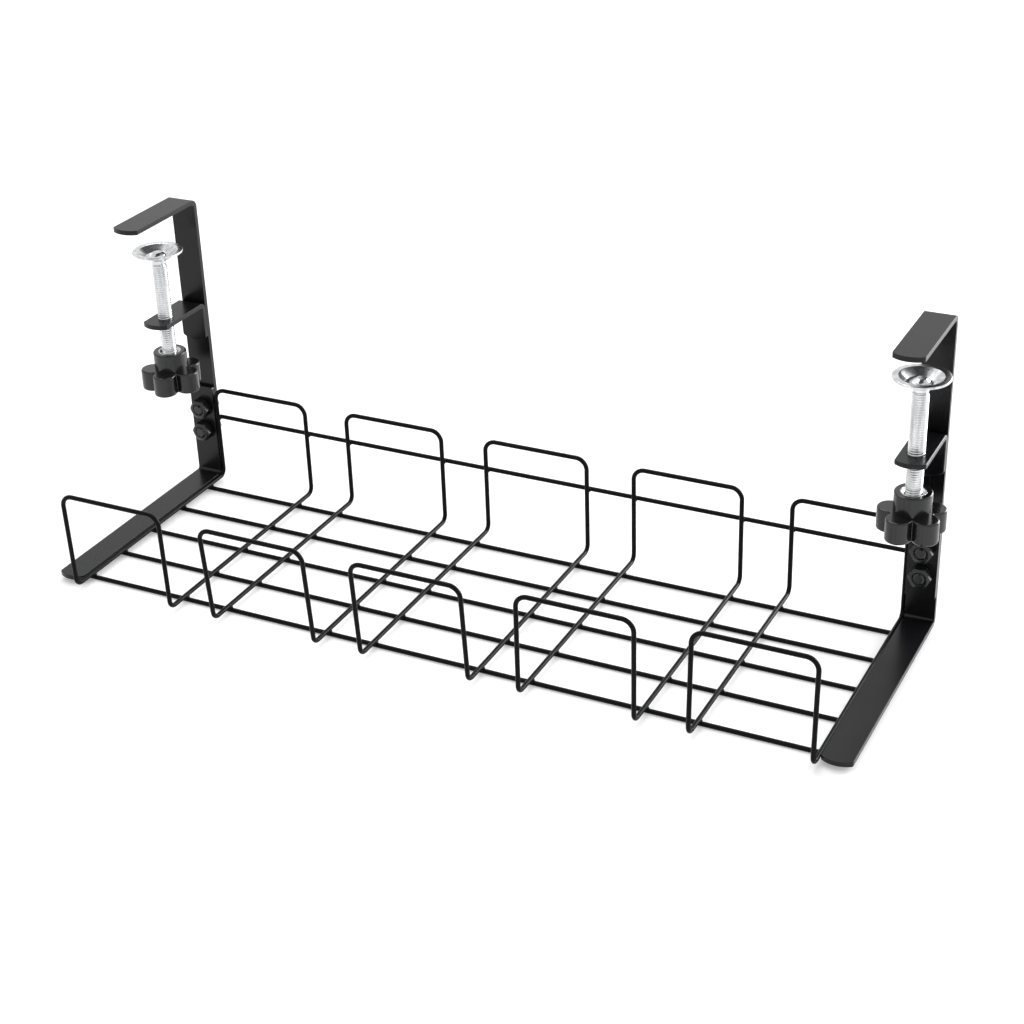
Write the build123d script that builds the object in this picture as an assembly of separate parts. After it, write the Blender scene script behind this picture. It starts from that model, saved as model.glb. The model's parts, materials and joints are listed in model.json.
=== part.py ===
from build123d import *
import os
from math import asin, copysign, cos, radians, sin, tan

# Under-desk cable tray: a welded wire cage hung from two bench clamps.
# Lengths are millimetres. X runs along the tray, Y to the back, Z up.

# Wire cage. Each wire is round, drawn with a few flats that touch the circle of its size.
wire = 2.4
wire_flats = 8
weld_gap = 0.02
tray_length = 400.0
tray_depth = 138.0
wall_height = 53.3
loop_gap = 26.5
top_bend = 8.0
foot_bend = 4.0
front_leans = (1.3, 4.6, 4.2, -0.3, -3.1)
floor_wire_count = 5
floor_wire_inset = 14.0
back_wire_rise = 35.5

# Flat steel strip of the straps, clamp bars and ears
strip_width = 15.0
strip_thickness = 2.5
end_bulge = 2.5
corner_radius = 1.5
strap_bend = 1.5
strap_overrun = 9.0
bar_bend = 2.0
jaw_rise = 110.0
jaw_reach = 54.0
ear_bend = 1.2
ear_drop = 59.0
ear_leg = 22.8
ear_reach = 39.0

# Bolts and nuts that join each clamp bar to its strap
bolt_size = 6.0
bolt_hole_play = 0.4
bolt_pitch = 14.0
bolt_edge = 13.0
bolt_stub = 0.5
hex_flats = 10.0
nut_height = 5.0
head_height = 4.0
hex_chamfer = 0.7
thread_play = 0.04

# Clamp screw
screw_size = 8.0
screw_play = 0.1
screw_reach = 26.5
neck_size = 5.0
neck_play = 0.1
swivel_play = 0.15
dome_size = 9.0
dome_height = 2.4

# Dished pad
pad_size = 27.0
pad_sheet = 1.2
pad_lip = 3.0
pad_depth = 3.6
pad_floor_size = 12.0
pad_gap = 17.8

# Star knob and its moulded-in steel insert
knob_size = 33.5
lobe_count = 5
lobe_size = 12.5
lobe_height = 11.5
lobe_root = 0.4
lobe_edge = 1.0
hub_size = 18.0
hub_height = 10.0
hub_edge = 0.8
insert_size = 12.4
insert_depth = 14.0
hub_gap = 16.9

# Left and right differ as photographed: the left bar stands behind its strap and the right bar
# in front, and each knob has stopped at its own angle.
bar_in_front = {"left": False, "right": True}
knob_turns = {"left": 48.0, "right": 17.0}
side_signs = {"left": -1, "right": 1}

# Levels and faces worked out from the sizes above
loop_count = len(front_leans)
loop_width = (tray_length - (loop_count - 1) * loop_gap) / loop_count
run_level = 1.5 * wire + weld_gap
strap_bottom = wire + weld_gap
strap_top = run_level + wall_height + wire / 2
strap_back = wire / 2
strap_front = strap_back - strip_thickness
upper_bolt = strap_top - bolt_edge
lower_bolt = upper_bolt - bolt_pitch
bar_bottom = lower_bolt - bolt_edge
jaw_top = strap_top + jaw_rise
jaw_under = jaw_top - strip_thickness
ear_top = jaw_top - ear_drop
ear_under = ear_top - strip_thickness
rim_level = jaw_under - pad_gap
hub_top = ear_under - hub_gap
strap_inner = tray_length / 2 + wire / 2 + weld_gap


def strip_centre(side):
    """X of the middle of one side's strap, bar, ear and screw."""
    return side_signs[side] * (strap_inner + strip_width / 2)


def bar_face(side):
    """Y of the front face of one clamp bar."""
    if bar_in_front[side]:
        return strap_front - strip_thickness
    return strap_back


def screw_axis(side):
    """Y of one clamp screw's axis."""
    return bar_face(side) - screw_reach


def wire_section():
    """Section of every wire, with flats to its four sides, so that crossing wires meet on flats."""
    return RegularPolygon(wire / 2, wire_flats, major_radius=False, rotation=180 / wire_flats)


def wire_along(points, bends):
    """Wire along straight runs joined by arcs."""
    path = FilletPolyline(*points, radius=bends)
    start = Plane(origin=path @ 0, x_dir=(0, 1, 0), z_dir=path % 0)
    return sweep(start * wire_section(), path=path)


def wire_loop(index):
    """Closed loop: back top bar, two back legs, two floor runs, two front legs, front top bar."""
    left = -tray_length / 2 + index * (loop_width + loop_gap)
    middle = left + loop_width / 2
    right = left + loop_width
    top = run_level + wall_height
    front = -tray_depth
    front_top = front - wall_height * tan(radians(front_leans[index]))
    points = [(middle, 0, top), (right, 0, top), (right, 0, run_level), (right, front, run_level),
              (right, front_top, top), (middle, front_top, top)]
    half = wire_along(points, [top_bend, foot_bend, foot_bend, top_bend])
    return half + mirror(half, about=Plane.YZ.offset(middle))


def straight_wire(half_length, y, z):
    """Straight wire along X, its ends cut square."""
    return Pos(0, y, z) * extrude(Plane.YZ * wire_section(), amount=half_length, both=True)


def strip_outline(reach, bulge=end_bulge):
    """Flat strip outline with a shallow curved far end and rounded far corners."""
    half = strip_width / 2
    sides = Polyline((half, reach - bulge), (half, 0), (-half, 0), (-half, reach - bulge))
    end = ThreePointArc((-half, reach - bulge), (0, reach), (half, reach - bulge))
    face = make_face([*sides.edges(), *end.edges()])
    return fillet(face.vertices().sort_by(Axis.Y)[-2:], corner_radius)


def square_outline(reach):
    """Flat strip outline with a square far end and rounded far corners."""
    face = Pos(0, reach / 2) * Rectangle(strip_width, reach)
    return fillet(face.vertices().sort_by(Axis.Y)[-2:], corner_radius)


def angle_strip(x, corner_y, corner_z, reach_y, reach_z, bend, flat_end, upright_end):
    """Strip bent once to an L, its two ends trimmed to the outlines given."""
    deep = copysign(strip_thickness, reach_y)
    high = copysign(strip_thickness, reach_z)
    corners = [(corner_y, corner_z + reach_z), (corner_y, corner_z), (corner_y + reach_y, corner_z),
               (corner_y + reach_y, corner_z + high), (corner_y + deep, corner_z + high),
               (corner_y + deep, corner_z + reach_z)]
    section = make_face(Polyline(*corners, close=True))
    outer = section.vertices().sort_by_distance((corner_y, corner_z))[0]
    section = fillet(outer, bend + strip_thickness)
    inner = section.vertices().sort_by_distance((corner_y + deep, corner_z + high))[0]
    section = fillet(inner, bend)
    blank = Plane.YZ.offset(x - strip_width / 2) * section
    flat_plane = Plane(origin=(x, corner_y, corner_z + high), x_dir=(-1, 0, 0), z_dir=(0, 0, 1))
    upright_plane = Plane(origin=(x, corner_y, corner_z), x_dir=(copysign(1, reach_z), 0, 0), z_dir=(0, -1, 0))
    tall = abs(reach_z) + strip_thickness
    long = abs(reach_y) + strip_thickness
    flat_keep = extrude(flat_plane * flat_end, amount=tall, both=True)
    upright_keep = extrude(upright_plane * upright_end, amount=long, both=True)
    return extrude(blank, amount=strip_width) & flat_keep & upright_keep


def bolt_holes(side):
    """The two clearance holes through strap and bar."""
    holes = Cylinder((bolt_size + bolt_hole_play) / 2, 8 * strip_thickness)
    return [Pos(strip_centre(side), strap_front, z) * Rot(90, 0, 0) * holes for z in (lower_bolt, upper_bolt)]


def strap(side):
    """Lower strap: an arm on the floor wires and an upright for the bolts."""
    arm = tray_depth - floor_wire_inset + strap_overrun + strap_back
    upright = strap_top - strap_bottom
    body = angle_strip(strip_centre(side), strap_back, strap_bottom, -arm, upright, strap_bend,
                       strip_outline(arm), square_outline(upright))
    return body - bolt_holes(side)


def clamp_bar(side):
    """Upper bar: upright bolted to the strap, its top bent forward as the fixed jaw."""
    back = bar_face(side) + strip_thickness
    reach = jaw_reach + strip_thickness
    upright = jaw_top - bar_bottom
    body = angle_strip(strip_centre(side), back, jaw_top, -reach, -upright, bar_bend,
                       strip_outline(reach), square_outline(upright))
    return body - bolt_holes(side)


def ear(side):
    """Threaded ear: a tab that holds the screw, with its leg welded to the bar's front face."""
    x = strip_centre(side)
    body = angle_strip(x, bar_face(side), ear_top, -ear_reach, -ear_leg, ear_bend,
                       strip_outline(ear_reach), strip_outline(ear_leg))
    hole = Cylinder((screw_size + screw_play) / 2, 4 * strip_thickness)
    return body - Pos(x, screw_axis(side), ear_top) * hole


def hexagon(height):
    """Hexagon prism from z = 0 up, the corners of its upper end chamfered."""
    prism = extrude(RegularPolygon(hex_flats / 2, 6, major_radius=False), amount=height)
    corner = hex_flats / 2 / cos(radians(30))
    drum = Pos(0, 0, height / 2) * Cylinder(corner, height)
    drum = chamfer(drum.edges().filter_by(GeomType.CIRCLE).sort_by(Axis.Z)[-1], hex_chamfer)
    return prism & drum


def bolt_stack(side):
    """Y of the nut's seat and of the bolt head's seat on one side's stack."""
    nut_seat = min(strap_front, bar_face(side))
    head_seat = max(strap_back, bar_face(side) + strip_thickness)
    return nut_seat, head_seat


def bolt(side, z):
    """Hexagon bolt, put in from the back."""
    nut_seat, head_seat = bolt_stack(side)
    length = head_seat - nut_seat + nut_height + bolt_stub
    shank = Pos(0, 0, -length / 2) * Cylinder(bolt_size / 2, length)
    shank = chamfer(shank.edges().sort_by(Axis.Z)[0], hex_chamfer)
    return Pos(strip_centre(side), head_seat, z) * Rot(-90, 0, 0) * (hexagon(head_height) + shank)


def nut(side, z):
    """Hexagon nut on the front."""
    nut_seat = bolt_stack(side)[0]
    bore = Cylinder((bolt_size + thread_play) / 2, 4 * nut_height)
    return Pos(strip_centre(side), nut_seat, z) * Rot(90, 0, 0) * (hexagon(nut_height) - bore)


def turned(points):
    """Body turned about Z from its half section, given as radius and height."""
    return revolve(Plane.XZ * make_face(Polyline(*points, close=True)), axis=Axis.Z)


def crown(radius, base, height):
    """Arc of a ball's cap over the Z axis, from its edge to its top."""
    ball = (radius ** 2 + height ** 2) / (2 * height)
    half = asin(radius / ball) / 2
    middle = (ball * sin(half), base + height - ball * (1 - cos(half)))
    return ThreePointArc((radius, base), middle, (0, base + height))


def clamp_screw(side):
    """Threaded rod with a neck through the pad and a peened dome over it."""
    shoulder = rim_level - pad_depth - pad_sheet - swivel_play
    dome_seat = rim_level - pad_depth + swivel_play
    bottom = hub_top - insert_depth
    cap = crown(dome_size / 2, dome_seat, dome_height)
    rod = Polyline((0, dome_seat + dome_height), (0, bottom), (screw_size / 2, bottom), (screw_size / 2, shoulder),
                   (neck_size / 2, shoulder), (neck_size / 2, dome_seat), (dome_size / 2, dome_seat))
    section = make_face([*cap.edges(), *rod.edges()])
    return Pos(strip_centre(side), screw_axis(side), 0) * revolve(Plane.XZ * section, axis=Axis.Z)


def pad(side):
    """Pressed dish that swivels on the screw's neck."""
    hole = (neck_size + neck_play) / 2
    rim = pad_size / 2
    lip = rim - pad_lip
    floor = pad_floor_size / 2
    top = rim_level
    base = top - pad_depth
    points = [(hole, base), (floor, base), (lip, top), (rim, top), (rim, top - pad_sheet), (lip, top - pad_sheet),
              (floor, base - pad_sheet), (hole, base - pad_sheet)]
    return Pos(strip_centre(side), screw_axis(side), 0) * turned(points)


def knob_outline():
    """Star of round lobes on a core, with rounded roots."""
    centre = (knob_size - lobe_size) / 2
    star = Circle(hub_size / 2) + PolarLocations(centre, lobe_count) * Circle(lobe_size / 2)
    roots = star.vertices()
    return fillet(roots, lobe_root)


def knob(side):
    """Star knob: lobed grip below, round hub above, with a socket for the insert."""
    grip = extrude(knob_outline(), amount=lobe_height)
    rims = grip.faces().filter_by(Axis.Z).edges()
    grip = chamfer(rims, lobe_edge)
    hub = Pos(0, 0, lobe_height + hub_height / 2) * Cylinder(hub_size / 2, hub_height)
    hub = chamfer(hub.edges().filter_by(GeomType.CIRCLE).sort_by(Axis.Z)[-1], hub_edge)
    total = lobe_height + hub_height
    socket = Pos(0, 0, total - insert_depth / 2) * Cylinder((insert_size + thread_play) / 2, insert_depth)
    turn = -90 + knob_turns[side] + 180 / lobe_count
    place = Pos(strip_centre(side), screw_axis(side), hub_top - total) * Rot(0, 0, turn)
    return place * (grip + hub - socket)


def insert(side):
    """Steel bush moulded into the knob's hub, round the screw."""
    sleeve = Cylinder(insert_size / 2, insert_depth) - Cylinder((screw_size + thread_play) / 2, insert_depth)
    return Pos(strip_centre(side), screw_axis(side), hub_top - insert_depth / 2) * sleeve


def build():
    """Every piece by name, before the whole is set on the floor about its middle."""
    pieces = {}
    for index in range(loop_count):
        pieces[f"wire_loop_{index + 1}"] = wire_loop(index)
    floor_pitch = (tray_depth - 2 * floor_wire_inset) / (floor_wire_count - 1)
    for index in range(floor_wire_count):
        y = -floor_wire_inset - index * floor_pitch
        pieces[f"floor_wire_{index + 1}"] = straight_wire(strap_inner + strip_width / 2, y, wire / 2)
    pieces["back_wire"] = straight_wire(tray_length / 2, wire + weld_gap, run_level + back_wire_rise)
    for side in side_signs:
        pieces[f"{side}_strap"] = strap(side)
        pieces[f"{side}_clamp_bar"] = clamp_bar(side)
        pieces[f"{side}_ear"] = ear(side)
        pieces[f"{side}_pad"] = pad(side)
        pieces[f"{side}_screw"] = clamp_screw(side)
        pieces[f"{side}_knob"] = knob(side)
        pieces[f"{side}_insert"] = insert(side)
        for place, z in (("lower", lower_bolt), ("upper", upper_bolt)):
            pieces[f"{side}_{place}_bolt"] = bolt(side, z)
            pieces[f"{side}_{place}_nut"] = nut(side, z)
    return pieces


pieces = build()
box = Compound(children=[Compound([piece]) for piece in pieces.values()]).bounding_box()
home = Pos(-(box.min.X + box.max.X) / 2, -(box.min.Y + box.max.Y) / 2, 0)
os.makedirs("parts", exist_ok=True)
for name, piece in pieces.items():
    export_step(home * piece, f"parts/{name}.step")
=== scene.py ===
"""Looks of an under-desk cable tray, modelled round its fixed frame and laid out as an add-on."""

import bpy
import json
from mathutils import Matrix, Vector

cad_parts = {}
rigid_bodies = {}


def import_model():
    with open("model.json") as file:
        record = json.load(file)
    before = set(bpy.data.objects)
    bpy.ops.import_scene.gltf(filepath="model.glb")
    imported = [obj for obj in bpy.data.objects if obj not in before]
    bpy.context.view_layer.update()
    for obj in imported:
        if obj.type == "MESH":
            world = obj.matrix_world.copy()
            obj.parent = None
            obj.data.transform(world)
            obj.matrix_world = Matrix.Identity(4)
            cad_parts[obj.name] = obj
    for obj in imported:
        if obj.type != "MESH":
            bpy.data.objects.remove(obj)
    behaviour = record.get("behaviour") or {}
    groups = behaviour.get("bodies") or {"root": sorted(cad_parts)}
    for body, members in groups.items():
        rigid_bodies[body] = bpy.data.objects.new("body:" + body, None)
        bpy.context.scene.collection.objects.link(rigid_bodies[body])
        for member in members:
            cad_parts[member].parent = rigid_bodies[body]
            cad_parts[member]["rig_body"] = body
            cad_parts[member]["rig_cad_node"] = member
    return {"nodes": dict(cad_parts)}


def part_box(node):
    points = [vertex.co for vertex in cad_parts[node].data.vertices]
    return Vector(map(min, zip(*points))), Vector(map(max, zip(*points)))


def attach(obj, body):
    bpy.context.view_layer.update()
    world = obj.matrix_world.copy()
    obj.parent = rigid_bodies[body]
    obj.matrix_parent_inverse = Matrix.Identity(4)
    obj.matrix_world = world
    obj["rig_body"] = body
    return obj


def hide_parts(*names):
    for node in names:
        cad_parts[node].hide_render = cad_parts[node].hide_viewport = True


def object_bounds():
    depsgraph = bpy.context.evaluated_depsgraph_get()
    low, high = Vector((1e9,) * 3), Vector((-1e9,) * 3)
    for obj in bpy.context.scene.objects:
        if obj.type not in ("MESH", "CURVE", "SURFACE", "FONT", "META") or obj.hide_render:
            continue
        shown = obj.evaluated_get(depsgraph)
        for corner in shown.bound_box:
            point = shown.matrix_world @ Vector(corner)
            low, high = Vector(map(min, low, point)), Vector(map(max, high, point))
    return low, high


bl_info = {
    "name": "Under-desk cable tray",
    "version": (1, 0, 0),
    "blender": (4, 5, 0),
    "location": "3D View > Sidebar > Cable tray",
    "description": "Round wires, bent strips, clamp screws, dished pads and star knobs of a cable tray",
    "category": "Object",
}

import itertools
import json
import math

import bpy
from mathutils import Matrix, Vector

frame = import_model()
cad_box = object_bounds()

MM = 0.001
UP = Vector((0, 0, 1))
SIDES = ("left", "right")
LEVELS = ("lower", "upper")
LOOPS = [f"wire_loop_{number}" for number in range(1, 6)]
FLOOR_WIRES = [f"floor_wire_{number}" for number in range(1, 6)]
LOBES = 5
BACKWARDS = Vector((0, 1, 0))

# Points nearer than these are one: in a line, in a piece, in a cut and in the knob's outline.
SAME_SPOT = 0.001 * MM
SAME_VERTEX = 0.0005 * MM
SAME_LEVEL = 0.0001 * MM
SAME_SEAM = 0.01 * MM

# Steps of a fine round, a plain round and a wire, and of a bend and a rounded edge.
FINE_STEPS = 96
ROUND_STEPS = 64
WIRE_STEPS = 32
BEND_STEPS = 10
EDGE_STEPS = 6

# Spin turns clockwise seen from its axis' tip, so the axis points down.
SPIN_AXIS = (0, 0, -1)
ORIGIN = (0, 0, 0)
QUARTER_TURN = math.pi / 2
FULL_TURN = 2 * math.pi

# Clearance round a piece that is seated in another one.
SEAT = 0.02 * MM

WHITE = (1.0, 1.0, 1.0, 1.0)


def length(name, description, millimetres):
    """A size in the sidebar, given in millimetres and kept in metres."""
    return bpy.props.FloatProperty(name=name, description=description, default=millimetres * MM, min=0,
                                   precision=5, unit="LENGTH")


def colour(name, description, red, green, blue):
    """A colour in the sidebar."""
    return bpy.props.FloatVectorProperty(name=name, description=description, default=(red, green, blue),
                                         size=3, min=0, max=1, subtype="COLOR")


class CableTraySizes(bpy.types.PropertyGroup):
    """Sizes of the modelled pieces that the frame doesn't give by itself."""
    depth: length("Tray depth", "Distance at the floor between the back and the front legs' lines", 138)
    wire: length("Wire", "Thickness of every wire of the cage", 2.4)
    top_bend: length("Top bend", "Radius of a loop's bends at its top bars", 6)
    foot_bend: length("Foot bend", "Radius of a loop's bends at the floor", 4)
    wire_end: length("Wire end", "Rounding of a cut wire's end", 0.35)
    weld_spread: length("Weld spread", "Reach of a weld's bulge from the middle of a crossing", 1.75)
    weld_height: length("Weld height", "Half height of a weld's bulge", 1.15)
    strip_edge: length("Strip edge", "Rounding of the coated edges of straps, bars and ears", 0.8)
    screw: length("Clamp screw", "Outside thickness of the clamp screw's thread", 8)
    screw_pitch: length("Screw pitch", "Rise of the clamp screw's thread in one turn", 1.25)
    neck: length("Neck", "Thickness of the screw's neck inside the pad", 5)
    pad_sheet: length("Pad sheet", "Thickness of the pad's sheet", 1.2)
    pad_lip: length("Pad lip", "Width of the flat lip round the pad", 3.0)
    pad_depth: length("Pad depth", "Depth of the pad's dish below its lip", 3.6)
    pad_floor: length("Pad floor", "Width across the flat floor of the pad's dish", 12)
    knob: length("Knob", "Width across the knob's lobes", 33.5)
    lobe: length("Lobe", "Width of one round lobe", 12.5)
    lobe_height: length("Lobe height", "Height of the lobed grip", 11.5)
    lobe_root: length("Lobe root", "Radius of the slit between two lobes", 0.4)
    lobe_top_edge: length("Lobe top edge", "Rounding of the grip's upper edge", 1.0)
    lobe_edge: length("Lobe edge", "Rounding of the grip's lower edge", 1.2)
    hub: length("Hub", "Thickness of the knob's round hub", 18)
    hub_edge: length("Hub edge", "Rounding of the hub's upper edge", 0.8)
    bolt: length("Bolt", "Outside thickness of the bolts' thread", 6)
    bolt_pitch: length("Bolt pitch", "Rise of the bolts' thread in one turn", 1)
    flats: length("Across flats", "Width across the flats of nuts and bolt heads", 10)


class CableTrayColours(bpy.types.PropertyGroup):
    """Colours of the finishes."""
    coat: colour("Powder coat", "Black coat of cage, straps, bars and ears", 0.004, 0.004, 0.005)
    hardware: colour("Hardware", "Black coat of bolts and nuts", 0.006, 0.0065, 0.007)
    zinc: colour("Zinc", "Bright plating of screws, pads and inserts", 0.78, 0.79, 0.8)
    plastic: colour("Plastic", "Black moulded plastic of the knobs", 0.006, 0.006, 0.0065)


def sizes():
    """The sizes set in the sidebar."""
    return bpy.context.scene.cable_tray_sizes


def colours():
    """The colours set in the sidebar."""
    return bpy.context.scene.cable_tray_colours


# Shader graphs


class Term:
    """A node's output that can be added, multiplied and so on, as a number in a formula."""

    def __init__(self, graph, socket):
        self.graph = graph
        self.socket = socket

    def __add__(self, other):
        return self.graph.maths("ADD", self, other)

    def __mul__(self, other):
        return self.graph.maths("MULTIPLY", self, other)

    __radd__ = __add__
    __rmul__ = __mul__


class Graph:
    """The node tree of a material or of the world."""

    def __init__(self, tree):
        self.tree = tree
        tree.nodes.clear()

    def node(self, kind, settings=None, inputs=None, output=0):
        """Adds a node, sets it up, fills or links its sockets and returns one of its outputs as a Term."""
        made = self.tree.nodes.new(kind)
        for name, value in (settings or {}).items():
            setattr(made, name, value)
        for name, value in (inputs or {}).items():
            if isinstance(value, Term):
                self.tree.links.new(value.socket, made.inputs[name])
            else:
                made.inputs[name].default_value = value
        return Term(self, made.outputs[output]) if made.outputs else made

    def maths(self, operation, *values):
        """One Math node on numbers or Terms."""
        return self.node("ShaderNodeMath", {"operation": operation}, dict(enumerate(values)))

    def split(self, vector):
        """The X, Y and Z of a vector, as three Terms."""
        parts = self.node("ShaderNodeSeparateXYZ", None, {"Vector": vector})
        return [Term(self, socket) for socket in parts.socket.node.outputs]

    def shown(self):
        """1 for a ray that shows the background: from the camera, off a gloss or through a clear thing."""
        rays = self.node("ShaderNodeLightPath").socket.node.outputs
        level = Term(self, rays["Is Camera Ray"])
        for name in ("Is Glossy Ray", "Is Transmission Ray"):
            level = self.maths("MAXIMUM", level, Term(self, rays[name]))
        return level

    def noise(self, place, scale, detail=2, roughness=0.5):
        """Noise from 0 to 1 over a place."""
        return self.node("ShaderNodeTexNoise", None,
                         {"Vector": place, "Scale": scale, "Detail": detail, "Roughness": roughness})

    def between(self, factor, first, second):
        """A colour that runs from the first to the second."""
        return self.node("ShaderNodeMix", {"data_type": "RGBA"}, {0: factor, 6: first, 7: second}, output=2)

    def ramp(self, value, low, high, start=0.0):
        """A value's stretch from low to high, spread from start to 1."""
        return self.node("ShaderNodeMapRange", None, {0: value, 1: low, 2: high, 3: start})

    def bump(self, height, strength, depth):
        """A normal bent by a height from 0 to 1 that stands for that depth."""
        return self.node("ShaderNodeBump", None, {"Strength": strength, "Distance": depth, "Height": height})

    def surface(self, inputs):
        """A Principled surface."""
        return self.node("ShaderNodeBsdfPrincipled", None, inputs)


def shade(rgb, strength=1.0):
    """A colour with its alpha, lightened or darkened."""
    return (*(min(1.0, channel * strength) for channel in rgb), 1.0)


def material(name, build):
    """The material of that name, built once by the function given."""
    made = bpy.data.materials.get(name)
    if made is None:
        made = bpy.data.materials.new(name)
        made.use_nodes = True
        graph = Graph(made.node_tree)
        surface = build(graph)
        graph.node("ShaderNodeOutputMaterial", None, {"Surface": surface})
    return made


def coated(rgb, roughness, scale, depth, gloss):
    """A black coat with orange peel of that scale and depth, soft clouds and slightly rubbed edges."""
    def build(graph):
        place = graph.node("ShaderNodeTexCoord", output="Object")
        edge = graph.node("ShaderNodeNewGeometry", output="Pointiness")
        cloud = graph.noise(place, scale=22, detail=3, roughness=0.55)
        patch = graph.noise(place, scale=160, detail=3, roughness=0.6)
        peel = graph.noise(place, scale=scale)
        grain = graph.noise(place, scale=5 * scale, detail=1)
        rubbed = graph.ramp(edge * (0.8 + 0.4 * patch), low=0.53, high=0.66)
        clean = graph.between(cloud, shade(rgb, 0.75), shade(rgb, 1.3))
        worn = shade(rgb, 2.5)
        dull = 0.1 * cloud + 0.04 * grain + 0.08 * rubbed
        return graph.surface({
            "Base Color": graph.between(0.35 * rubbed, clean, worn),
            "Roughness": roughness - 0.05 + dull,
            "Normal": graph.bump(0.75 * peel + 0.25 * grain, strength=0.35, depth=depth),
            "IOR": gloss,
        })
    return build


def plated(rgb):
    """Bright zinc with soft upright streaks of painted reflection, standing in for darker surroundings
    mirrored in it, and a few duller clouds.
    """
    def build(graph):
        place = graph.node("ShaderNodeTexCoord", output="Object")
        drawn_out = graph.node("ShaderNodeMapping", None, {"Vector": place, "Scale": (1, 1, 0.12)})
        painted_reflection_streak = graph.noise(drawn_out, scale=420, roughness=0.55)
        cloud = graph.noise(place, scale=90, detail=3, roughness=0.6)
        speck = graph.noise(place, scale=1500, detail=1)
        # Painted reflection: the base colour darkens in stretched upright streaks, as if darker surroundings
        # showed in the zinc, mixed with a little random cloud.
        painted_reflection_and_cloud = graph.ramp(0.7 * painted_reflection_streak + 0.3 * cloud, low=0.36, high=0.62)
        return graph.surface({
            "Base Color": graph.between(painted_reflection_and_cloud, shade(rgb, 0.66), shade(rgb)),
            "Metallic": 1.0,
            "Roughness": 0.2 + 0.12 * cloud,
            "Normal": graph.bump(speck, strength=0.15, depth=0.04 * MM),
        })
    return build


def moulded(rgb):
    """Black moulded plastic with a fine spark-eroded grain."""
    def build(graph):
        place = graph.node("ShaderNodeTexCoord", output="Object")
        cloud = graph.noise(place, scale=40, detail=3)
        grain = graph.noise(place, scale=2600, roughness=0.6)
        return graph.surface({
            "Base Color": graph.between(cloud, shade(rgb, 0.8), shade(rgb, 1.25)),
            "Roughness": 0.13 + 0.08 * cloud + 0.04 * grain,
            "Normal": graph.bump(grain, strength=0.15, depth=0.04 * MM),
            "IOR": 1.5,
        })
    return build


def finish(look):
    """The finish for a look: a slot of the record, or the darker coat that the thin wires have."""
    tints = colours()
    builds = {
        "black_powder_coat": coated(tints.coat, roughness=0.24, scale=650, depth=0.04 * MM, gloss=1.35),
        "black_wire_coat": coated(tints.coat, roughness=0.24, scale=650, depth=0.03 * MM, gloss=1.17),
        "black_hardware": coated(tints.hardware, roughness=0.2, scale=1200, depth=0.03 * MM, gloss=1.5),
        "bright_zinc": plated(tints.zinc),
        "black_plastic": moulded(tints.plastic),
    }
    # The frame's own plain materials have the slots' names, so these are called something else.
    return material(look + "_finish", builds[look])


# Modelling by hand


def only(*pieces):
    """Selects these objects alone, the last one active."""
    if bpy.context.object and bpy.context.object.mode != "OBJECT":
        bpy.ops.object.mode_set(mode="OBJECT")
    bpy.ops.object.select_all(action="DESELECT")
    for piece in pieces:
        piece.select_set(True)
        bpy.context.view_layer.objects.active = piece


def edit(piece, kind="VERT"):
    """Opens a piece for editing with nothing selected."""
    only(piece)
    bpy.ops.object.mode_set(mode="EDIT")
    bpy.ops.mesh.select_mode(type=kind)
    bpy.ops.mesh.select_all(action="DESELECT")


def done():
    """Leaves edit mode."""
    bpy.ops.object.mode_set(mode="OBJECT")


def pick(piece, kind, test):
    """Opens a piece with only the vertices or faces selected whose place and normal pass the test."""
    edit(piece, kind)
    done()
    if kind == "VERT":
        for vertex in piece.data.vertices:
            vertex.select = test(vertex.co, vertex.normal)
    else:
        for face in piece.data.polygons:
            face.select = test(face.center, face.normal)
    bpy.ops.object.mode_set(mode="EDIT")


def merged(piece, outwards=True):
    """Merges a piece's doubled vertices and turns its faces outwards."""
    edit(piece)
    bpy.ops.mesh.select_all(action="SELECT")
    bpy.ops.mesh.remove_doubles(threshold=SAME_VERTEX)
    if outwards:
        bpy.ops.mesh.normals_make_consistent(inside=False)
    done()
    return piece


def started(name):
    """A new piece that is one vertex at the origin, open for editing."""
    if bpy.context.object and bpy.context.object.mode != "OBJECT":
        done()
    bpy.ops.object.select_all(action="DESELECT")
    bpy.ops.mesh.primitive_plane_add(size=MM)
    piece = bpy.context.object
    piece.name = name
    piece.data.name = name
    bpy.ops.object.mode_set(mode="EDIT")
    bpy.ops.mesh.select_mode(type="VERT")
    bpy.ops.mesh.select_all(action="SELECT")
    bpy.ops.mesh.merge(type="COLLAPSE")
    return piece


def line(name, points, rounds, closed=False):
    """Edges through points, with the corners that have a round given a bend of that radius."""
    piece = started(name)
    bpy.ops.transform.translate(value=points[0])
    for here, there in zip(points, points[1:]):
        bpy.ops.mesh.extrude_region_move(TRANSFORM_OT_translate={"value": Vector(there) - Vector(here)})
    if closed:
        ends = (points[0], points[-1])
        pick(piece, "VERT", lambda spot, _: min((spot - end).length for end in ends) < SAME_SPOT)
        bpy.ops.mesh.edge_face_add()
    for radius in sorted({bend for bend in rounds if bend}):
        corners = [(points[index - 1], points[index], points[(index + 1) % len(points)])
                   for index, bend in enumerate(rounds) if bend == radius]
        for before, corner, after in corners:
            half = (before - corner).angle(after - corner) / 2
            pick(piece, "VERT", lambda spot, _, corner=corner: (spot - corner).length < SAME_SPOT)
            reach = radius / math.tan(half)
            bpy.ops.mesh.bevel(affect="VERTICES", offset=reach, segments=BEND_STEPS, profile=0.5)
    done()
    return piece


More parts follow.
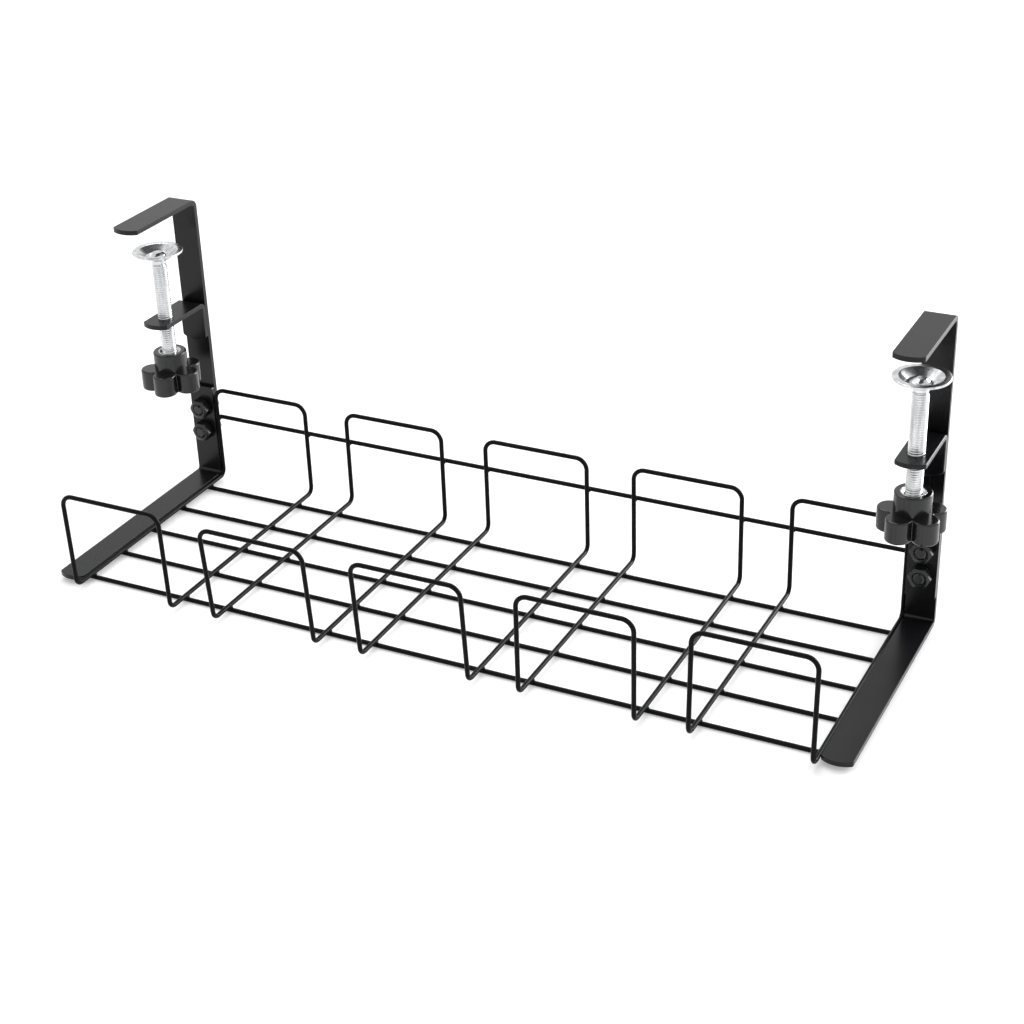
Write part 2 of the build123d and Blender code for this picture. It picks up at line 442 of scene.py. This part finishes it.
def wire_ring(name, points, rounds, thickness):
    """A closed ring of round wire along straight runs and bends."""
    piece = line(name, points, rounds, closed=True)
    only(piece)
    bpy.ops.object.convert(target="CURVE")
    route = bpy.context.object
    route.data.dimensions = "3D"
    route.data.bevel_depth = thickness / 2
    route.data.bevel_resolution = WIRE_STEPS // 4 - 1
    bpy.ops.object.convert(target="MESH")
    piece = bpy.context.object
    piece.name = name
    return merged(piece)


def applied(piece, kind, **settings):
    """Gives a piece a modifier and applies it."""
    only(piece)
    modifier = piece.modifiers.new(kind.lower(), kind)
    for name, value in settings.items():
        setattr(modifier, name, value)
    bpy.ops.object.modifier_apply(modifier=modifier.name)
    return piece


def soften(piece, angle):
    """Smooth shading with creases kept, and flat faces kept flat up to their rounded edges."""
    only(piece)
    bpy.ops.object.shade_smooth_by_angle(angle=math.radians(angle))
    return applied(piece, "WEIGHTED_NORMAL", keep_sharp=True)


def carved(piece, tool, operation):
    """Joins, cuts or keeps a piece with another, which is used up."""
    applied(piece, "BOOLEAN", operation=operation, solver="EXACT", object=tool)
    bpy.data.objects.remove(tool)
    return piece


def turned(name, section, steps=ROUND_STEPS, closed=True):
    """A body turned about Z from its half section, given as radius, height and rounding in metres."""
    points = [Vector((radius, 0, height)) for radius, height, _ in section]
    piece = line(name, points, [rounding for _, _, rounding in section], closed)
    edit(piece)
    bpy.ops.mesh.select_all(action="SELECT")
    bpy.ops.mesh.spin(steps=steps, angle=FULL_TURN, center=ORIGIN, axis=SPIN_AXIS)
    done()
    return merged(piece)


def threaded(name, low, high, thickness, pitch, steps=28):
    """A threaded rod on Z between two levels: one ridge run round and up, trimmed square at both ends."""
    crest = thickness / 2
    root = crest - 0.2 * pitch
    # The ridge of one turn, as radius and share of the pitch.
    ridge = [(root, 0), (root, 0.07), (crest, 0.32), (crest, 0.68), (root, 0.93), (root, 1)]
    start = low - 1.5 * pitch
    points = [Vector((radius, 0, start + share * pitch)) for radius, share in ridge]
    piece = line(name, points, [0] * len(points))
    turns = math.ceil((high - low) / pitch) + 3
    applied(piece, "SCREW", axis="Z", angle=FULL_TURN, screw_offset=pitch, iterations=turns, steps=steps,
            render_steps=steps, use_merge_vertices=True, merge_threshold=SAME_SPOT)
    merged(piece)
    for level, clear in ((low, {"clear_inner": True}), (high, {"clear_outer": True})):
        edit(piece)
        bpy.ops.mesh.select_all(action="SELECT")
        bpy.ops.mesh.bisect(plane_co=(0, 0, level), plane_no=UP, use_fill=True, threshold=SAME_LEVEL, **clear)
        done()
    return merged(piece)


def joined(name, *pieces):
    """Several meshes as one piece."""
    only(*pieces)
    bpy.ops.object.join()
    piece = bpy.context.object
    piece.name = name
    piece.data.name = name
    return piece


def copied(piece, name):
    """A copy with its own mesh."""
    copy = piece.copy()
    copy.data = piece.data.copy()
    copy.name = name
    copy.data.name = name
    bpy.context.scene.collection.objects.link(copy)
    return copy


def placed(piece, spot, turn=(0, 0, 0)):
    """Moves and turns a piece, and keeps its place in its mesh."""
    only(piece)
    piece.location = spot
    piece.rotation_euler = turn
    bpy.ops.object.transform_apply(location=True, rotation=True, scale=True)
    return piece


def fitted(piece, body, slot, *nodes, look=None):
    """Gives a piece its finish and its body, and lets it stand for frame nodes."""
    piece.data.materials.clear()
    piece.data.materials.append(finish(look or slot))
    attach(piece, body)
    if nodes:
        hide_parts(*nodes)
    return piece


def middle(node):
    """Middle of a frame node's box."""
    low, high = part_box(node)
    return (low + high) / 2


class Loop:
    """Lines of one wire loop, read from its frame node."""

    def __init__(self, node):
        size = sizes()
        low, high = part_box(node)
        near = 0.3 * MM
        spots = [vertex.co for vertex in frame["nodes"][node].data.vertices]
        half = size.wire / 2
        self.left = low.x + half
        self.right = high.x - half
        self.top = high.z - half
        self.floor = low.z + half
        self.back = high.y - half
        self.front_foot = max(self.back - size.depth, low.y + half)
        front_top = [spot.y for spot in spots if spot.z > high.z - near and spot.y < middle(node).y]
        self.front_top = max((min(front_top) + max(front_top)) / 2, low.y + half)


class CABLE_TRAY_OT_wires(bpy.types.Operator):
    """Models the round wires of the cage."""
    bl_idname = "cable_tray.wires"
    bl_label = "Wires"
    bl_options = {"REGISTER", "UNDO"}

    def execute(self, context):
        size = sizes()
        for node in LOOPS:
            loop = Loop(node)
            corners = [(loop.right, loop.back, loop.top), (loop.right, loop.back, loop.floor),
                       (loop.right, loop.front_foot, loop.floor), (loop.right, loop.front_top, loop.top)]
            corners += [(loop.left, y, z) for _, y, z in reversed(corners)]
            rounds = [size.top_bend, size.foot_bend, size.foot_bend, size.top_bend] * 2
            route = [Vector(corner) for corner in corners]
            piece = wire_ring("round_" + node, route, rounds, size.wire)
            fitted(soften(piece, angle=50), "tray", "black_powder_coat", node, look="black_wire_coat")
        for node in [*FLOOR_WIRES, "back_wire"]:
            low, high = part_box(node)
            half = size.wire / 2
            span = high.x - low.x
            section = [(0, 0, 0), (half, 0, size.wire_end), (half, span, size.wire_end), (0, span, 0)]
            piece = turned("round_" + node, section, steps=WIRE_STEPS, closed=False)
            placed(piece, (low.x, middle(node).y, middle(node).z), (0, QUARTER_TURN, 0))
            fitted(soften(piece, angle=50), "tray", "black_powder_coat", node, look="black_wire_coat")
        return {"FINISHED"}


class CABLE_TRAY_OT_welds(bpy.types.Operator):
    """Models the small bulges where the cage's wires are welded across each other and to the straps."""
    bl_idname = "cable_tray.welds"
    bl_label = "Welds"
    bl_options = {"REGISTER", "UNDO"}

    def execute(self, context):
        size = sizes()
        spread = size.weld_spread
        strap_lift = 0.4 * size.wire
        spots = []
        back = middle("back_wire")
        for node in LOOPS:
            loop = Loop(node)
            for x in (loop.left, loop.right):
                for wire_node in FLOOR_WIRES:
                    across = middle(wire_node)
                    spots.append((Vector((x, across.y, (across.z + loop.floor) / 2)), UP))
                spots.append((Vector((x, (back.y + loop.back) / 2, back.z)), BACKWARDS))
        for side in SIDES:
            low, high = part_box(f"{side}_strap")
            inner = low.x if side == "right" else high.x
            for wire_node in FLOOR_WIRES:
                across = middle(wire_node)
                spots.append((Vector((inner, across.y, across.z + strap_lift)), UP))
            loop = Loop(LOOPS[-1] if side == "right" else LOOPS[0])
            for share_of_height in (0.35, 0.8):
                level = low.z + share_of_height * (high.z - low.z)
                spots.append((Vector((inner, loop.back, level)), BACKWARDS))
        bulges = []
        for index, (spot, direction) in enumerate(spots):
            bpy.ops.object.select_all(action="DESELECT")
            bpy.ops.mesh.primitive_uv_sphere_add(segments=20, ring_count=10, radius=1)
            bulge = bpy.context.object
            # Each bulge is stretched a little more or less than the one before.
            stretch = 0.08 * math.sin(index * 2.4)
            bulge.scale = (spread * (1 + stretch), spread * (1 - stretch), size.weld_height)
            bulges.append(placed(bulge, spot, direction.to_track_quat("Z", "Y").to_euler()))
        piece = joined("cage_welds", *bulges)
        fitted(soften(piece, angle=60), "tray", "black_powder_coat", look="black_wire_coat")
        return {"FINISHED"}


class CABLE_TRAY_OT_strips(bpy.types.Operator):
    """Models straps, clamp bars and ears with the rounded edges of coated strip."""
    bl_idname = "cable_tray.strips"
    bl_label = "Strips"
    bl_options = {"REGISTER", "UNDO"}

    def execute(self, context):
        size = sizes()
        for side in SIDES:
            for part in ("strap", "clamp_bar", "ear"):
                node = f"{side}_{part}"
                piece = copied(frame["nodes"][node], "coated_" + node)
                piece.parent = None
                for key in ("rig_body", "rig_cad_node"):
                    del piece[key]
                only(piece)
                bpy.ops.mesh.customdata_custom_splitnormals_clear()
                merged(piece, outwards=False)
                edit(piece)
                bpy.ops.mesh.select_all(action="SELECT")
                bpy.ops.mesh.dissolve_limited(angle_limit=math.radians(0.5))
                done()
                applied(piece, "BEVEL", width=size.strip_edge, segments=EDGE_STEPS, limit_method="ANGLE",
                        angle_limit=math.radians(50))
                fitted(soften(piece, angle=30), "tray", "black_powder_coat", node)
        return {"FINISHED"}


class CABLE_TRAY_OT_screws(bpy.types.Operator):
    """Models the clamp screws: thread, neck and peened dome."""
    bl_idname = "cable_tray.screws"
    bl_label = "Clamp screws"
    bl_options = {"REGISTER", "UNDO"}

    def execute(self, context):
        size = sizes()
        radius = size.screw / 2
        neck = size.neck / 2
        play = 0.15 * MM
        plain_end = 3.2 * MM
        overlap = 0.4 * MM
        root = radius - 0.7 * MM
        root_height = 0.5 * MM
        collar = radius - 0.1 * MM
        collar_foot = 1.1 * MM
        collar_foot_round = 0.2 * MM
        collar_round = 0.3 * MM
        dome_foot = 4.5 * MM
        dome_foot_round = 0.25 * MM
        dome_side = 4.1 * MM
        dome_side_height = 1.2 * MM
        dome_side_round = 1.2 * MM
        dome_top = 2.2 * MM
        dome_top_round = 1.0 * MM
        for side in SIDES:
            node = f"{side}_screw"
            low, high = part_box(node)
            pad_low, pad_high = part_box(f"{side}_pad")
            shoulder = pad_low.z - play
            thread_end = shoulder - plain_end
            rod = threaded("rod", low.z, thread_end, size.screw, size.screw_pitch)
            inside_rod = thread_end - overlap
            seat = pad_high.z - size.pad_depth + play
            section = [
                (0, inside_rod, 0), (root, inside_rod, 0), (root, thread_end + root_height, 0),
                (collar, thread_end + collar_foot, collar_foot_round), (collar, shoulder, collar_round),
                (neck, shoulder, 0), (neck, seat, 0),
                (dome_foot, seat, dome_foot_round), (dome_side, seat + dome_side_height, dome_side_round),
                (dome_top, high.z, dome_top_round), (0, high.z, 0),
            ]
            head = turned("head", section, closed=False)
            piece = joined("threaded_" + node, head, rod)
            placed(piece, (middle(node).x, middle(node).y, 0))
            fitted(soften(piece, angle=32), f"{side}_clamp_screw", "bright_zinc", node)
        return {"FINISHED"}


class CABLE_TRAY_OT_pads(bpy.types.Operator):
    """Models the dished pads."""
    bl_idname = "cable_tray.pads"
    bl_label = "Pads"
    bl_options = {"REGISTER", "UNDO"}

    def execute(self, context):
        size = sizes()
        for side in SIDES:
            node = f"{side}_pad"
            low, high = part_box(node)
            rim = (high.x - low.x) / 2
            top = high.z
            base = top - size.pad_depth
            sheet = size.pad_sheet
            hole = size.neck / 2 + 0.05 * MM
            floor = size.pad_floor / 2
            lip = rim - size.pad_lip
            floor_bend = 3 * MM
            lip_bend = 1.0 * MM
            lip_bend_below = 1.6 * MM
            rim_round = 0.45 * MM
            section = [
                (hole, base, 0), (floor, base, floor_bend), (lip, top, lip_bend), (rim, top, rim_round),
                (rim, top - sheet, rim_round), (lip, top - sheet, lip_bend_below),
                (floor, base - sheet, floor_bend), (hole, base - sheet, 0),
            ]
            piece = turned("pressed_" + node, section, steps=FINE_STEPS)
            placed(piece, (middle(node).x, middle(node).y, 0))
            fitted(soften(piece, angle=40), f"{side}_clamp_pad", "bright_zinc", node)
        return {"FINISHED"}


def star_outline(name, lobes, centre, lobe, root):
    """Closed outline of round lobes that run into each other in rounded slits, left open for editing."""
    lobe_steps = 36
    root_steps = 12
    share = math.pi / lobes
    across = centre * math.sin(share)
    reach = centre * math.cos(share) + math.sqrt((lobe + root) ** 2 - across ** 2)
    lobe_centre = Vector((centre, 0, 0))
    root_centre = Vector((reach * math.cos(share), reach * math.sin(share), 0))
    towards = root_centre - lobe_centre
    swing = math.atan2(towards.y, towards.x)
    piece = started(name)
    bpy.ops.transform.translate(value=lobe_centre + lobe * Vector((math.cos(swing), -math.sin(swing), 0)))
    arcs = ((lobe_centre, 2 * swing, lobe_steps), (root_centre, 2 * (share - swing), root_steps))
    for pivot, turn, steps in arcs:
        bpy.ops.mesh.spin(steps=steps, angle=turn, center=pivot, axis=SPIN_AXIS)
    bpy.ops.mesh.select_all(action="SELECT")
    others = lobes - 1
    rest = FULL_TURN * others / lobes
    bpy.ops.mesh.spin(steps=others, angle=rest, center=ORIGIN, axis=SPIN_AXIS, dupli=True)
    bpy.ops.mesh.select_all(action="SELECT")
    bpy.ops.mesh.remove_doubles(threshold=SAME_SEAM)
    return piece


class CABLE_TRAY_OT_knobs(bpy.types.Operator):
    """Models the star knobs: lobed grip, hub and socket."""
    bl_idname = "cable_tray.knobs"
    bl_label = "Knobs"
    bl_options = {"REGISTER", "UNDO"}

    def execute(self, context):
        size = sizes()
        for side in SIDES:
            node = f"{side}_knob"
            low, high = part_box(node)
            # The hub is a hair wider than the frame's.
            core = size.hub / 2 + 0.03 * MM
            inside_grip = 2 * MM
            facing = 0.99
            grip = star_outline("grip", LOBES, (size.knob - size.lobe) / 2, size.lobe / 2, size.lobe_root)
            bpy.ops.mesh.edge_face_add()
            bpy.ops.mesh.extrude_region_move(TRANSFORM_OT_translate={"value": (0, 0, size.lobe_height)})
            merged(grip)
            for direction, edge in ((1, size.lobe_top_edge), (-1, size.lobe_edge)):
                pick(grip, "FACE", lambda _, normal, way=direction: normal.z * way > facing)
                bpy.ops.mesh.bevel(affect="EDGES", offset=edge, segments=EDGE_STEPS)
                done()
            height = high.z - low.z
            section = [
                (0, inside_grip, 0), (core, inside_grip, 0), (core, height, size.hub_edge), (0, height, 0),
            ]
            hub = turned("hub", section, steps=FINE_STEPS, closed=False)
            carved(grip, hub, "UNION")
            insert_low, insert_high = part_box(f"{side}_insert")
            socket = (insert_high.x - insert_low.x) / 2 + SEAT
            depth = insert_high.z - insert_low.z
            bottom = height - depth
            over = height + MM
            section = [(0, bottom, 0), (socket, bottom, 0), (socket, over, 0), (0, over, 0)]
            tool = turned("socket", section, steps=FINE_STEPS, closed=False)
            carved(grip, tool, "DIFFERENCE")
            grip.name = "moulded_" + node
            grip.data.name = grip.name
            axis = middle(f"{side}_screw")
            placed(grip, (axis.x, axis.y, low.z), (0, 0, lobe_angle(node)))
            fitted(soften(grip, angle=32), f"{side}_clamp_screw", "black_plastic", node)
        return {"FINISHED"}


def lobe_angle(node):
    """Angle of the first lobe of a knob, read from its frame node."""
    axis = middle(node.replace("knob", "screw"))
    spots = [(vertex.co - axis).to_2d() for vertex in frame["nodes"][node].data.vertices]
    near = 0.02 * MM
    reach = max(spot.length for spot in spots)
    tips = [spot for spot in spots if spot.length > reach - near]
    turns = [LOBES * math.atan2(spot.y, spot.x) for spot in tips]
    return math.atan2(sum(map(math.sin, turns)), sum(map(math.cos, turns))) / LOBES


class CABLE_TRAY_OT_inserts(bpy.types.Operator):
    """Models the steel bushes moulded into the knobs, with their flared mouths."""
    bl_idname = "cable_tray.inserts"
    bl_label = "Inserts"
    bl_options = {"REGISTER", "UNDO"}

    def execute(self, context):
        size = sizes()
        for side in SIDES:
            node = f"{side}_insert"
            low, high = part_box(node)
            outside = (high.x - low.x) / 2
            bore = size.screw / 2 + SEAT
            flare = high.z - 1.6 * MM
            flare_bend = 0.4 * MM
            mouth = outside - 0.7 * MM
            mouth_level = high.z - 0.1 * MM
            mouth_round = 0.25 * MM
            outer_round = 0.2 * MM
            section = [
                (bore, low.z, 0), (bore, flare, flare_bend), (mouth, mouth_level, mouth_round),
                (outside, high.z, outer_round), (outside, low.z, 0),
            ]
            piece = turned("flared_" + node, section, steps=FINE_STEPS)
            placed(piece, (middle(node).x, middle(node).y, 0))
            fitted(soften(piece, angle=40), f"{side}_clamp_screw", "bright_zinc", node)
        return {"FINISHED"}


def hexagon(name, height, both_ends):
    """Hexagon on Z from 0 up, its corners turned off at the top, and below too if asked."""
    size = sizes()
    sixth = math.pi / 6
    corner = size.flats / 2 / math.cos(sixth)
    face = 0.44 * size.flats
    slope = (corner - face) * math.tan(sixth)
    # It is made taller than the drum that it is cut with, so that the two share no plane.
    taller = height + 2 * MM
    bpy.ops.object.select_all(action="DESELECT")
    bpy.ops.mesh.primitive_cylinder_add(vertices=6, radius=corner, depth=taller, location=(0, 0, height / 2),
                                        rotation=(0, 0, sixth))
    piece = bpy.context.object
    piece.name = name
    placed(piece, piece.location, piece.rotation_euler)
    wide = corner + 0.05 * MM
    lower = [(face, 0, 0), (wide, slope, 0)] if both_ends else [(wide, 0, 0)]
    section = [(0, 0, 0), *lower, (wide, height - slope, 0), (face, height, 0), (0, height, 0)]
    tool = turned("drum", section, steps=72, closed=False)
    return carved(piece, tool, "INTERSECT")


class CABLE_TRAY_OT_fasteners(bpy.types.Operator):
    """Models the bolts and nuts that hold each bar to its strap."""
    bl_idname = "cable_tray.fasteners"
    bl_label = "Bolts and nuts"
    bl_options = {"REGISTER", "UNDO"}

    def execute(self, context):
        size = sizes()
        low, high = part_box("left_upper_nut")
        nut_height = high.y - low.y
        bolt_low, bolt_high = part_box("left_upper_bolt")
        total = bolt_high.y - bolt_low.y
        head_height = 4 * MM
        shank = total - head_height
        radius = size.bolt / 2
        mouth = radius + 0.5 * MM
        bore = radius + SEAT
        sunk = 0.5 * MM
        under = -MM
        over = nut_height + MM
        nut = hexagon("nut", nut_height, both_ends=True)
        section = [
            (0, under, 0), (mouth, under, 0), (mouth, 0, 0), (bore, sunk, 0),
            (bore, nut_height - sunk, 0), (mouth, nut_height, 0), (mouth, over, 0), (0, over, 0),
        ]
        carved(nut, turned("cutter", section, closed=False), "DIFFERENCE")
        soften(nut, angle=30)
        head = hexagon("head", head_height, both_ends=False)
        placed(head, ORIGIN, (math.pi, 0, 0))
        thread_start = shank - 8 * MM
        thread = threaded("thread", thread_start, shank, size.bolt, size.bolt_pitch)
        wide = radius + MM
        tip = radius - 0.8 * MM
        tip_start = shank - 1.6 * MM
        section = [(0, 0, 0), (wide, 0, 0), (wide, tip_start, 0), (tip, shank, 0), (0, shank, 0)]
        carved(thread, turned("tip", section, closed=False), "INTERSECT")
        core = radius - 0.35 * MM
        inside_head = -0.2 * MM
        inside_thread = shank - 7.5 * MM
        section = [
            (0, inside_head, 0), (core, inside_head, 0), (core, inside_thread, 0), (0, inside_thread, 0),
        ]
        stem = turned("stem", section, closed=False)
        bolt = soften(joined("bolt", head, stem, thread), angle=30)
        kinds = (("nut", "chamfered", nut, 0), ("bolt", "threaded", bolt, head_height))
        for side, level, (kind, word, made, seat) in itertools.product(SIDES, LEVELS, kinds):
            node = f"{side}_{level}_{kind}"
            spot = (middle(node).x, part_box(node)[1].y - seat, middle(node).z)
            piece = placed(copied(made, f"{word}_{node}"), spot, (QUARTER_TURN, 0, 0))
            fitted(piece, "tray", "black_hardware", node)
        bpy.data.objects.remove(nut)
        bpy.data.objects.remove(bolt)
        return {"FINISHED"}


def lamp(name, spot, aim, side, power):
    """A square softbox at a spot, turned to its aim."""
    light = bpy.data.lights.new(name, "AREA")
    light.size = side
    light.energy = power
    item = bpy.data.objects.new(name, light)
    item.location = spot
    item.rotation_euler = (Vector(aim) - Vector(spot)).to_track_quat("-Z", "Y").to_euler()
    bpy.context.scene.collection.objects.link(item)


def floor_surface(graph):
    """Pale floor that reads white and still takes a soft shadow."""
    paper = graph.node("ShaderNodeBsdfDiffuse", None, {"Color": shade(WHITE[:3], 0.8)})
    glow = graph.node("ShaderNodeEmission", None, {"Color": WHITE, "Strength": 0.3})
    seen = graph.node("ShaderNodeAddShader", None, {0: paper, 1: glow})
    return graph.node("ShaderNodeMixShader", None, {0: graph.shown(), 1: paper, 2: seen})


class CABLE_TRAY_OT_stage(bpy.types.Operator):
    """Sets up the pale floor, the soft light and the camera."""
    bl_idname = "cable_tray.stage"
    bl_label = "Stage"
    bl_options = {"REGISTER", "UNDO"}

    def execute(self, context):
        scene = bpy.context.scene
        scene.view_settings.view_transform = "Standard"
        world = bpy.data.worlds.new("studio")
        world.use_nodes = True
        scene.world = world
        graph = Graph(world.node_tree)
        _, across, height = graph.split(graph.node("ShaderNodeTexCoord", output="Generated"))
        # The room is dim on the camera's side and bright behind and above.
        lit = graph.ramp(0.75 * across + 0.65 * height, low=-0.6, high=0.45, start=0.25)
        level = graph.maths("MAXIMUM", lit, graph.shown())
        room = graph.node("ShaderNodeBackground", None, {"Color": WHITE, "Strength": level})
        graph.node("ShaderNodeOutputWorld", None, {"Surface": room})

        bpy.ops.object.select_all(action="DESELECT")
        bpy.ops.mesh.primitive_plane_add(size=8, location=(0, 0, cad_box[0].z))
        floor = bpy.context.object
        floor.name = "floor"
        floor.data.materials.append(material("pale_floor", floor_surface))

        lamp("key_softbox", spot=(-0.5, 0.5, 1.5), aim=(0, -0.05, 0.08), side=0.9, power=7)
        lamp("rim_softbox", spot=(0.85, 1.25, 0.45), aim=(0, -0.05, 0.1), side=0.9, power=26)

        cage = Vector((middle("back_wire").x, Loop(LOOPS[0]).back, 0))
        azimuth = math.radians(27.162)
        elevation = math.radians(28.127)
        roll = math.radians(-2.032)
        offset = Vector((0.4122, -0.8323, 0.5172))
        camera_data = bpy.data.cameras.new("camera")
        camera_data.sensor_width = 36
        camera_data.lens = 69.72
        camera_data.clip_end = 20
        view = bpy.data.objects.new("camera", camera_data)
        turn = (Matrix.Rotation(azimuth, 4, "Z") @ Matrix.Rotation(QUARTER_TURN - elevation, 4, "X")
                @ Matrix.Rotation(roll, 4, "Z"))
        view.matrix_world = Matrix.Translation(cage + offset) @ turn
        scene.collection.objects.link(view)
        scene.camera = view
        return {"FINISHED"}


OPERATORS = (
    CABLE_TRAY_OT_wires,
    CABLE_TRAY_OT_welds,
    CABLE_TRAY_OT_strips,
    CABLE_TRAY_OT_screws,
    CABLE_TRAY_OT_pads,
    CABLE_TRAY_OT_knobs,
    CABLE_TRAY_OT_inserts,
    CABLE_TRAY_OT_fasteners,
    CABLE_TRAY_OT_stage,
)


class CABLE_TRAY_PT_panel(bpy.types.Panel):
    """Sidebar panel with the sizes, the colours and a button for each group of pieces."""
    bl_label = "Cable tray"
    bl_idname = "CABLE_TRAY_PT_panel"
    bl_space_type = "VIEW_3D"
    bl_region_type = "UI"
    bl_category = "Cable tray"

    def draw(self, context):
        for group in (context.scene.cable_tray_sizes, context.scene.cable_tray_colours):
            column = self.layout.column(align=True)
            for name in group.bl_rna.properties.keys():
                if name not in ("rna_type", "name"):
                    column.prop(group, name)
        for operator in OPERATORS:
            self.layout.operator(operator.bl_idname)


CLASSES = [CableTraySizes, CableTrayColours, *OPERATORS, CABLE_TRAY_PT_panel]


def register():
    for item in CLASSES:
        bpy.utils.register_class(item)
    bpy.types.Scene.cable_tray_sizes = bpy.props.PointerProperty(type=CableTraySizes)
    bpy.types.Scene.cable_tray_colours = bpy.props.PointerProperty(type=CableTrayColours)


def unregister():
    del bpy.types.Scene.cable_tray_colours
    del bpy.types.Scene.cable_tray_sizes
    for item in reversed(CLASSES):
        bpy.utils.unregister_class(item)


def main():
    """Models every piece."""
    register()
    for operator in OPERATORS:
        getattr(bpy.ops.cable_tray, operator.bl_idname.split(".")[1])()


if __name__ == "__main__":
    main()
